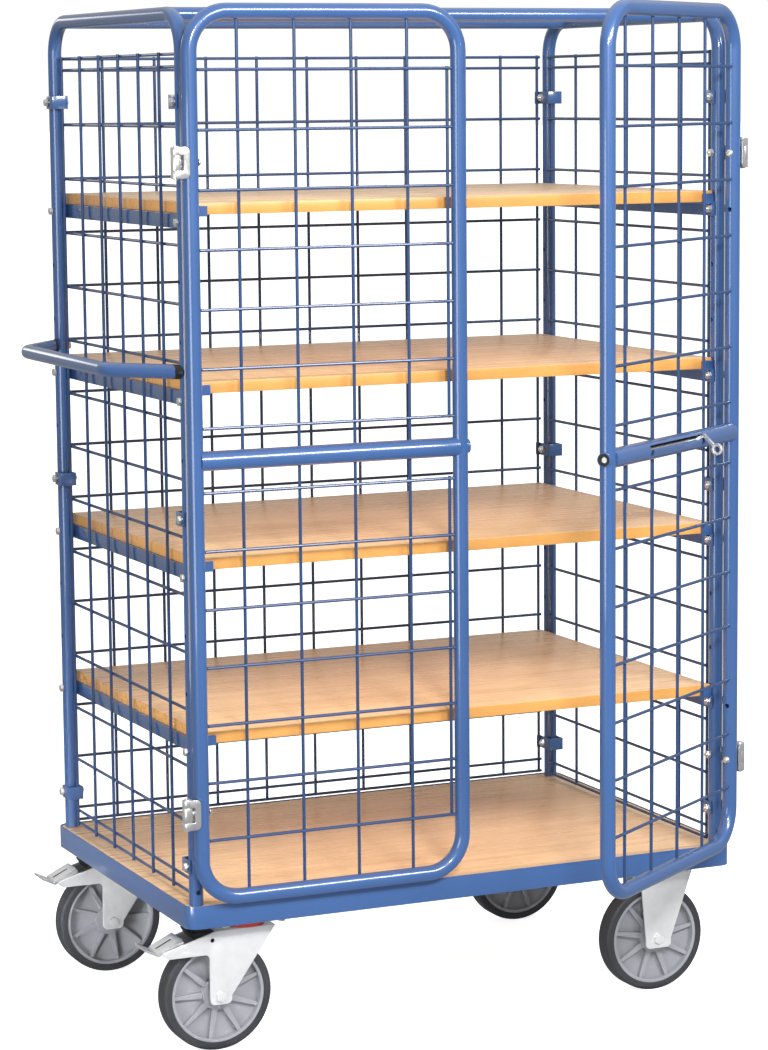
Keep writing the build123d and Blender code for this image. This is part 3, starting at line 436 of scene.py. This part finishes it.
def plated_steel(name, base):
    """Plated steel that mirrors the studio, with a faint mottle."""
    finish = Finish(name, metallic=0.9)
    finish.mottle(finish.noise(scale=90.0, detail=4.0), base, dark=0.94, light=1.05)
    finish.rough(finish.noise(scale=160.0, detail=2.0), low=0.28, high=0.36)
    finish.bump(finish.noise(scale=60.0, detail=2.0), strength=0.01)
    return finish.material


def moulded_grey(name, base):
    """Grey moulded plastic with a soft grain."""
    finish = Finish(name)
    finish.mottle(finish.noise(scale=25.0), base, dark=0.93, light=1.07)
    finish.rough(finish.noise(scale=150.0), low=0.38, high=0.52)
    finish.bump(finish.noise(scale=500.0, detail=2.0), strength=0.08)
    return finish.material


def dusty_rubber(name, base):
    """Dark grey rubber with a dusty bloom."""
    finish = Finish(name)
    finish.mottle(finish.noise(scale=14.0, detail=5.0), base, dark=0.85, light=1.25)
    finish.rough(finish.noise(scale=40.0), low=0.5, high=0.7)
    finish.bump(finish.noise(scale=700.0, detail=2.0), strength=0.15)
    return finish.material


def dull_plastic(name, base):
    """Plain moulded plastic of one colour with a fine grain."""
    finish = Finish(name)
    finish.mottle(finish.noise(scale=60.0), base, dark=0.85, light=1.15)
    finish.rough(finish.noise(scale=200.0), low=0.38, high=0.52)
    finish.bump(finish.noise(scale=800.0, detail=2.0), strength=0.1, distance=0.0002)
    return finish.material


def material(name):
    """The finish of that name, made when it is first asked for."""
    made = bpy.data.materials.get(name)
    if made is None:
        colours = finishes()
        makers = {
            "powder_coat": lambda: powder_coat(name, colours.paint, gloss=1.0),
            # Darker tint of the paint, painted shade on the wires
            "wire_coat_painted_shade": lambda: powder_coat(name, colours.wire, gloss=0.3),
            "beech_face": lambda: beech(name, colours.board, grain=0.12, depth=0.6),
            "beech_edge": lambda: beech(name, colours.board_edge, grain=0.12, depth=0.4),
            # Lighter copy of the edge band, painted light on the shelves' ends
            "beech_end_painted_light": lambda: beech(name, colours.board_end_painted_light, grain=0.08, depth=0.1),
            "zinc_plate": lambda: zinc_plate(name, colours.zinc),
            "bright_steel": lambda: plated_steel(name, colours.steel),
            # Dark copy of the bright steel, painted shade on the washers
            "washer_steel_painted_shade": lambda: plated_steel(name, colours.washer),
            "moulded_grey": lambda: moulded_grey(name, colours.plastic),
            "dusty_rubber": lambda: dusty_rubber(name, colours.rubber),
            "red_seal": lambda: dull_plastic(name, colours.seal),
            "dull_black_and_slot_shade": lambda: dull_plastic(name, colours.black),
        }
        made = makers[name]()
    return made


# Pieces
def smooth(piece, angle=CREASE):
    """Smooth shading with creases kept."""
    piece.data.shade_smooth()
    piece.modifiers.new("creases", "EDGE_SPLIT").split_angle = angle


def dress(node, finish, bevel=0.0):
    """Gives a CAD node a finish, smooth shading and, where asked, rounded edges."""
    piece = NODES[node]
    piece.data.materials.clear()
    piece.data.materials.append(material(finish))
    if "custom_normal" in piece.data.attributes:
        piece.data.attributes.remove(piece.data.attributes["custom_normal"])
    piece.modifiers.new("join", "WELD").merge_threshold = MERGE
    if bevel:
        rounding = piece.modifiers.new("rounding", "BEVEL")
        rounding.width = bevel
        rounding.segments = BEVEL_STEPS
        rounding.limit_method = "ANGLE"
        rounding.angle_limit = BEVEL_FROM
    smooth(piece)


def make_piece(name, bm, finish_names, body, node):
    """Turns a bmesh into a piece that rides on a body and stands for a CAD node."""
    mesh = bpy.data.meshes.new(name)
    bmesh.ops.recalc_face_normals(bm, faces=bm.faces)
    bm.to_mesh(mesh)
    bm.free()
    for finish in finish_names:
        mesh.materials.append(material(finish))
    piece = bpy.data.objects.new(name, mesh)
    bpy.context.scene.collection.objects.link(piece)
    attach(piece, body)
    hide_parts(node)
    return piece


def solids(node):
    """The points of each separate solid in a CAD node, always in the same order."""
    bm = bmesh.new()
    bm.from_mesh(NODES[node].data)
    bmesh.ops.remove_doubles(bm, verts=bm.verts, dist=MERGE)
    found = []
    seen = set()
    for first in bm.verts:
        if first in seen:
            continue
        seen.add(first)
        group = [first]
        # The group grows while it is walked through
        for vert in group:
            for edge in vert.link_edges:
                other = edge.other_vert(vert)
                if other not in seen:
                    seen.add(other)
                    group.append(other)
        found.append([vert.co.copy() for vert in group])
    bm.free()
    return found


def middle(points):
    """Mean of some points."""
    return sum(points, Vector()) / len(points)


def bar_ends(points):
    """Middles of a bar's two end faces."""
    far = max(points, key=lambda p: (p - points[0]).length)
    centre = middle(points)
    way = far - centre
    return tuple(middle([p for p in points if (p - centre).dot(way) * side > 0]) for side in (-1, 1))


def drum_round(points, way):
    """Foot, height and radius of the drum round some points, along a direction."""
    centre = middle(points)
    along = [(p - centre).dot(way) for p in points]
    radius = max((p - centre - way * step).length for p, step in zip(points, along))
    return centre + way * min(along), max(along) - min(along), radius


def stand(place, way):
    """Matrix that puts a shape made along +Z at a place, along a direction."""
    return Matrix.Translation(place) @ way.to_track_quat("Z", "X").to_matrix().to_4x4()


def round_edges(bm, edges, width):
    """Bevels some edges of a bmesh."""
    bmesh.ops.bevel(
        bm, geom=edges, offset=width, offset_type="OFFSET", segments=BEVEL_STEPS, profile=0.5,
        affect="EDGES", clamp_overlap=True, material=-1,
    )


def add_drum(bm, place, way, radius, depth, segments, bevel=0.0):
    """Closed drum that starts at a place and runs along a direction, its far rim bevelled where asked."""
    made = bmesh.ops.create_cone(
        bm, cap_ends=True, segments=segments, radius1=radius, radius2=radius, depth=depth,
        matrix=stand(place + way * depth / 2, way),
    )
    if bevel:
        edges = dict.fromkeys(e for v in made["verts"] for e in v.link_edges)
        rim = [e for e in edges if all((v.co - place).dot(way) > depth * DRUM_TOP for v in e.verts)]
        round_edges(bm, rim, bevel)


class TROLLEY_OT_painted_frame(bpy.types.Operator):
    """Paint the base, the tubes, the rails and the clips, and finish the handle's plugs"""

    bl_idname = "trolley.painted_frame"
    bl_label = "Painted frame"

    def execute(self, context):
        tubes = (
            "end_frame_left", "end_frame_right", "top_tube_front", "top_tube_rear", "handle",
            "left_door_frame", "right_door_frame",
        )
        for node in tubes:
            dress(node, "powder_coat")
        bevel = sizes().sheet_bevel
        for node in ("base_frame", "rails_left", "rails_right", "mesh_clips"):
            dress(node, "powder_coat", bevel)
        dress("handle_plugs", "dull_black_and_slot_shade", bevel)
        return {"FINISHED"}


class TROLLEY_OT_wire_panels(bpy.types.Operator):
    """Make the round wires of the cage walls and the doors"""

    bl_idname = "trolley.wire_panels"
    bl_label = "Wire panels"

    def wire(self, bm, points):
        """One round wire in the place of a six-sided rod."""
        start, end = bar_ends(points)
        run = end - start
        across = max((p - end).length for p in points if (p - end).length < run.length / 2)
        radius = across * sizes().wire_swell
        way = run.normalized()
        if abs(way.z) > FACING_SQUARELY:
            # Upright wires have a corner to the front, whatever the rounding of their ends
            start = min(start, end, key=lambda p: p.z)
            way = UP
        add_drum(bm, start, way, radius, run.length, sizes().wire_segments)

    def execute(self, context):
        panels = {
            "rear_mesh": "cart",
            "left_mesh": "cart",
            "right_mesh": "cart",
            "left_door_mesh": "left_door",
            "right_door_mesh": "right_door",
        }
        for node, body in panels.items():
            bm = bmesh.new()
            for points in solids(node):
                self.wire(bm, points)
            smooth(make_piece(node.replace("mesh", "wires"), bm, ["wire_coat_painted_shade"], body, node))
        return {"FINISHED"}


class TROLLEY_OT_boards(bpy.types.Operator):
    """Make the beech shelves with banded edges and finish the deck"""

    bl_idname = "trolley.boards"
    bl_label = "Boards"

    def band(self, normal):
        """Number of the band for a face: 0 above and below, 1 on the long edges, 2 on the ends, whose
        lighter band is painted light.
        """
        if abs(normal.z) > FACING:
            return 0
        return 1 if abs(normal.y) > FACING else 2

    def execute(self, context):
        bands = ["beech_face", "beech_edge", "beech_end_painted_light"]
        for node in ("shelf_1", "shelf_2", "shelf_3", "shelf_4"):
            low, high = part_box(node)
            bm = bmesh.new()
            bmesh.ops.create_cube(bm, size=1.0)
            bmesh.ops.scale(bm, vec=high - low, verts=bm.verts)
            bmesh.ops.translate(bm, vec=(low + high) / 2, verts=bm.verts)
            round_edges(bm, bm.edges, sizes().board_bevel)
            bm.normal_update()
            for face in bm.faces:
                face.material_index = self.band(face.normal)
            smooth(make_piece(node + "_board", bm, bands, "cart", node), ROUND_CREASE)
        dress("deck", "beech_face", sizes().board_bevel)
        return {"FINISHED"}


class TROLLEY_OT_fasteners(bpy.types.Operator):
    """Make the bolts, nuts and washers of the cage, the hinges and the casters"""

    bl_idname = "trolley.fasteners"
    bl_label = "Fasteners"

    def bolt_end(self, bm, points, out, washer=0.0):
        """One hex head or nut, on a washer where asked, and the middle of its end."""
        size = sizes()
        seat, height, radius = drum_round(points, out)
        if washer:
            sheet = size.washer_sheet
            before = set(bm.faces)
            add_drum(bm, seat, out, washer / 2, sheet, ROUND_SIDES, sheet * WASHER_ROUNDING)
            # Washers take the second finish, the dark steel that is painted shade
            for face in set(bm.faces) - before:
                face.material_index = 1
            seat = seat + out * sheet
        add_drum(bm, seat, out, radius, height, HEX_SIDES, size.bolt_chamfer)
        return seat + out * height

    def cage_bolts(self, node, washer=0.0):
        """Bolts through the posts: heads on the outside, nuts and the ends of threads on the inside."""
        size = sizes()
        post_x = middle(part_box("end_frame_right")).x
        bm = bmesh.new()
        for points in solids(node):
            centre = middle(points)
            outside = abs(centre.x) > post_x
            out = RIGHT if (centre.x > 0) == outside else -RIGHT
            tip = self.bolt_end(bm, points, out, washer if outside else 0.0)
            if not outside and node != "handle_screws":
                add_drum(bm, tip, out, size.thread / 2, size.thread_end, THREAD_SIDES, size.bolt_chamfer)
        steels = ["bright_steel", "washer_steel_painted_shade"] if washer else ["bright_steel"]
        smooth(make_piece(node + "_fine", bm, steels, "cart", node))

    def plate_screws(self, node):
        """Screws up through the caster plates."""
        bm = bmesh.new()
        for points in solids(node):
            self.bolt_end(bm, points, -UP)
        smooth(make_piece(node + "_fine", bm, ["bright_steel"], "cart", node))

    def door_bolts(self, door, way):
        """Bolts through a door's hinge stile: nuts on the hinge's side, domed heads on the other."""
        node = door + "_bolts"
        leaves = middle(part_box(door + "_leaves"))
        bm = bmesh.new()
        for points in solids(node):
            if (middle(points) - leaves).dot(way) < HEAD_PAST_LEAVES:
                self.bolt_end(bm, points, -way)
            else:
                seat, height, radius = drum_round(points, way)
                add_drum(bm, seat, way, radius, height, ROUND_SIDES, height * DOME_ROUNDING)
        smooth(make_piece(node + "_fine", bm, ["bright_steel"], door, node), ROUND_CREASE)

    def execute(self, context):
        self.cage_bolts("clip_bolts", sizes().washer)
        for node in ("rail_bolts", "hinge_bolts", "handle_screws"):
            self.cage_bolts(node)
        self.plate_screws("plate_screws")
        self.door_bolts("left_door", RIGHT)
        self.door_bolts("right_door", Vector(JOINTS["lock_slide"]["axis"]))
        return {"FINISHED"}


class TROLLEY_OT_hinges_and_lock(bpy.types.Operator):
    """Finish the hinge leaves, the pins and the sliding bolt of the doors"""

    bl_idname = "trolley.hinges_and_lock"
    bl_label = "Hinges and lock"

    def execute(self, context):
        bevel = sizes().sheet_bevel
        for node in ("left_door_leaves", "right_door_leaves", "hinge_leaves", "lock_lever"):
            dress(node, "bright_steel", bevel)
        for node in ("hinge_pins", "lock_bolt"):
            dress(node, "bright_steel")
        dress("lock_bushes", "dull_black_and_slot_shade")
        return {"FINISHED"}


class TROLLEY_OT_casters(bpy.types.Operator):
    """Finish the forks, plates, seals, brakes and axles of the casters"""

    bl_idname = "trolley.casters"
    bl_label = "Casters"

    def pedal(self, node):
        """Bright pedal whose slot walls take the black finish as painted shade in the slot."""
        dress(node, "bright_steel", sizes().sheet_bevel)
        mesh = NODES[node].data
        mesh.materials.append(material("dull_black_and_slot_shade"))
        slot_y = middle(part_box(node)).y
        half_slot = sizes().pedal_slot / 2 + MERGE
        # Black on the slot's walls is painted shade in the recess
        for face in mesh.polygons:
            if abs(face.center.y - slot_y) < half_slot and abs(face.normal.y) > FACING_SQUARELY:
                face.material_index = 1

    def execute(self, context):
        bevel = sizes().sheet_bevel
        for node in ("fixed_forks", "fixed_axles", "swivel_plates"):
            dress(node, "zinc_plate", bevel)
        for end in ("front", "rear"):
            for node in ("swivel_fork_", "swivel_axle_", "brake_pin_"):
                dress(node + end, "zinc_plate", bevel)
            self.pedal("brake_pedal_" + end)
            dress("seal_ring_" + end, "red_seal", bevel)
            dress("brake_block_" + end, "dull_black_and_slot_shade", bevel)
        return {"FINISHED"}


class TROLLEY_OT_wheels(bpy.types.Operator):
    """Make the rubber tyres and finish the wheel centres"""

    bl_idname = "trolley.wheels"
    bl_label = "Wheels"

    def tyre(self, place):
        """Spins a tyre's section with round shoulders about the axle."""
        size = sizes()
        node = "tyre_" + place
        low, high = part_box(node)
        rim_low, rim_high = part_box("wheel_" + place)
        centre = (low + high) / 2
        half = (high.y - low.y) / 2
        tread = (high.z - low.z) / 2
        seat = (rim_high.z - rim_low.z) / 2
        corner = size.shoulder
        arcs = [k * pi / 2 / SHOULDER_STEPS for k in range(SHOULDER_STEPS + 1)]
        right = [(half - corner + corner * cos(a), tread - corner + corner * sin(a)) for a in arcs]
        left = [(-y, r) for y, r in reversed(right)]
        section = [(half, seat), *right, *left, (-half, seat)]
        bm = bmesh.new()
        verts = [bm.verts.new(centre + Vector((0, y, r))) for y, r in section]
        edges = [bm.edges.new((a, b)) for a, b in zip(verts, verts[1:] + verts[:1])]
        bmesh.ops.spin(
            bm, geom=verts + edges, cent=centre, axis=(0, 1, 0), angle=2 * pi, steps=size.tyre_steps,
            use_merge=True,
        )
        bmesh.ops.remove_doubles(bm, verts=bm.verts, dist=MERGE)
        smooth(make_piece("rubber_" + place, bm, ["dusty_rubber"], "wheel_" + place, node))

    def execute(self, context):
        for place in ("left_front", "left_rear", "right_front", "right_rear"):
            dress("wheel_" + place, "moulded_grey", sizes().moulding_bevel)
            self.tyre(place)
        return {"FINISHED"}


class TROLLEY_OT_stage(bpy.types.Operator):
    """Set up the floor, the soft light and the camera"""

    bl_idname = "trolley.stage"
    bl_label = "Stage"

    def floor(self, stage):
        """White floor that the camera sees and that throws no light back."""
        bm = bmesh.new()
        bmesh.ops.create_grid(bm, x_segments=1, y_segments=1, size=stage.floor_size / 2)
        mesh = bpy.data.meshes.new("floor")
        bm.to_mesh(mesh)
        bm.free()
        finish = Finish("floor")
        finish.shader.inputs["Roughness"].default_value = FLOOR_ROUGHNESS
        finish.shader.inputs["Base Color"].default_value = (*stage.floor, 1.0)
        finish.shader.inputs["Emission Color"].default_value = WHITE
        finish.shader.inputs["Emission Strength"].default_value = stage.floor_glow
        finish.material.cycles.emission_sampling = "NONE"
        mesh.materials.append(finish.material)
        floor = bpy.data.objects.new("floor", mesh)
        floor.visible_diffuse = False
        floor.visible_glossy = False
        bpy.context.scene.collection.objects.link(floor)

    def light(self, name, power, box=(CAD_LOW, CAD_HIGH)):
        """Area light that faces the middle of a box."""
        place, size = LAMPS[name]
        lamp = bpy.data.lights.new(name, "AREA")
        lamp.energy = power
        lamp.shape = "RECTANGLE"
        lamp.size, lamp.size_y = size
        ob = bpy.data.objects.new(name, lamp)
        ob.location = place
        aim = middle(box) - Vector(place)
        ob.rotation_euler = aim.to_track_quat("-Z", "Y").to_euler()
        bpy.context.scene.collection.objects.link(ob)
        return ob

    def grid_light(self, name, power, node):
        """Light behind a grid, which falls on one CAD node and what is near it."""
        lamp = self.light(name, power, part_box(node))
        lamp.data.spread = GRID_SPREAD
        lamp.visible_camera = False

    def bounce_light(self, stage):
        """Light that comes up from the floor, with no mirror image of its own."""
        lamp = self.light("floor_bounce", stage.bounce)
        lamp.rotation_euler = (pi, 0, 0)
        lamp.visible_camera = False
        lamp.visible_glossy = False

    def sky(self, stage):
        """White backdrop for the camera, and even light that is strongest from above and weaker in front."""
        world = bpy.data.worlds.new("studio")
        world.use_nodes = True
        tree = world.node_tree
        room = tree.nodes["Background"]
        place = tree.nodes.new("ShaderNodeTexCoord")
        split = tree.nodes.new("ShaderNodeSeparateXYZ")
        tree.links.new(place.outputs["Generated"], split.inputs["Vector"])

        height = tree.nodes.new("ShaderNodeMapRange")
        height.inputs["From Min"].default_value = -1.0
        tree.links.new(split.outputs["Z"], height.inputs["Value"])
        bands = tree.nodes.new("ShaderNodeValToRGB")
        levels = (
            (GROUND_END, stage.ground),
            (HORIZON_START, stage.horizon),
            (HORIZON_END, stage.horizon),
            (SKY_START, stage.sky),
        )
        set_stops(bands.color_ramp, [(level, (strength,) * 3) for level, strength in levels])
        tree.links.new(height.outputs["Result"], bands.inputs["Fac"])
        tree.links.new(bands.outputs["Color"], room.inputs["Color"])

        halves = tree.nodes.new("ShaderNodeMapRange")
        halves.inputs["From Min"].default_value = -FRONT_EDGE
        halves.inputs["From Max"].default_value = FRONT_EDGE
        halves.inputs["To Min"].default_value = stage.front
        tree.links.new(split.outputs["Y"], halves.inputs["Value"])
        tree.links.new(halves.outputs["Result"], room.inputs["Strength"])

        white = tree.nodes.new("ShaderNodeBackground")
        white.inputs["Color"].default_value = WHITE
        white.inputs["Strength"].default_value = stage.white
        path = tree.nodes.new("ShaderNodeLightPath")
        choice = tree.nodes.new("ShaderNodeMixShader")
        tree.links.new(path.outputs["Is Camera Ray"], choice.inputs["Fac"])
        tree.links.new(room.outputs["Background"], choice.inputs[1])
        tree.links.new(white.outputs["Background"], choice.inputs[2])
        tree.links.new(choice.outputs["Shader"], tree.nodes["World Output"].inputs["Surface"])
        bpy.context.scene.world = world

    def camera(self, stage):
        """Camera at the photograph's place, turned by its yaw, pitch and roll."""
        yaw, pitch, roll = stage.yaw, stage.pitch, stage.roll
        ahead = Vector((sin(yaw) * cos(pitch), cos(yaw) * cos(pitch), sin(pitch)))
        right = Vector((cos(yaw), -sin(yaw), 0))
        up = right.cross(ahead)
        across = right * cos(roll) + up * sin(roll)
        rise = up * cos(roll) - right * sin(roll)
        turn = Matrix((across, rise, -ahead)).transposed().to_4x4()
        lens = bpy.data.cameras.new("camera")
        lens.lens = stage.lens
        lens.sensor_width = SENSOR
        lens.clip_end = SIGHT
        camera = bpy.data.objects.new("camera", lens)
        camera.matrix_world = Matrix.Translation(stage.eye) @ turn
        bpy.context.scene.collection.objects.link(camera)
        bpy.context.scene.camera = camera

    def execute(self, context):
        stage = context.scene.trolley_stage
        self.floor(stage)
        self.light("front_light", stage.key)
        self.light("soft_box", stage.soft)
        self.light("side_light", stage.fill)
        self.bounce_light(stage)
        self.grid_light("low_light", stage.low, "wheel_left_rear")
        self.grid_light("handle_light", stage.rim, "handle")
        self.sky(stage)
        context.scene.view_settings.view_transform = "Standard"
        self.camera(stage)
        return {"FINISHED"}


PIECES = (
    TROLLEY_OT_painted_frame,
    TROLLEY_OT_wire_panels,
    TROLLEY_OT_boards,
    TROLLEY_OT_fasteners,
    TROLLEY_OT_hinges_and_lock,
    TROLLEY_OT_casters,
    TROLLEY_OT_wheels,
    TROLLEY_OT_stage,
)
GROUPS = {
    "trolley_finishes": TrolleyFinishes,
    "trolley_sizes": TrolleySizes,
    "trolley_stage": TrolleyStage,
}


class TROLLEY_PT_panel(bpy.types.Panel):
    """The trolley's pieces and settings"""

    bl_idname = "TROLLEY_PT_panel"
    bl_label = "Trolley"
    bl_space_type = "VIEW_3D"
    bl_region_type = "UI"
    bl_category = "Trolley"

    def draw(self, context):
        for operator in PIECES:
            self.layout.operator(operator.bl_idname)
        for name, group in GROUPS.items():
            box = self.layout.box()
            for field in group.__annotations__:
                box.prop(getattr(context.scene, name), field)


def register():
    """Makes the settings, the operators and the panel known."""
    for name, group in GROUPS.items():
        bpy.utils.register_class(group)
        setattr(bpy.types.Scene, name, PointerProperty(type=group))
    for operator in PIECES:
        bpy.utils.register_class(operator)
    bpy.utils.register_class(TROLLEY_PT_panel)


def unregister():
    """Takes the panel, the operators and the settings away again."""
    bpy.utils.unregister_class(TROLLEY_PT_panel)
    for operator in reversed(PIECES):
        bpy.utils.unregister_class(operator)
    for name, group in GROUPS.items():
        delattr(bpy.types.Scene, name)
        bpy.utils.unregister_class(group)


def main():
    """Runs every operator."""
    register()
    bpy.ops.trolley.painted_frame()
    bpy.ops.trolley.wire_panels()
    bpy.ops.trolley.boards()
    bpy.ops.trolley.fasteners()
    bpy.ops.trolley.hinges_and_lock()
    bpy.ops.trolley.casters()
    bpy.ops.trolley.wheels()
    bpy.ops.trolley.stage()


if __name__ == "__main__":
    main()
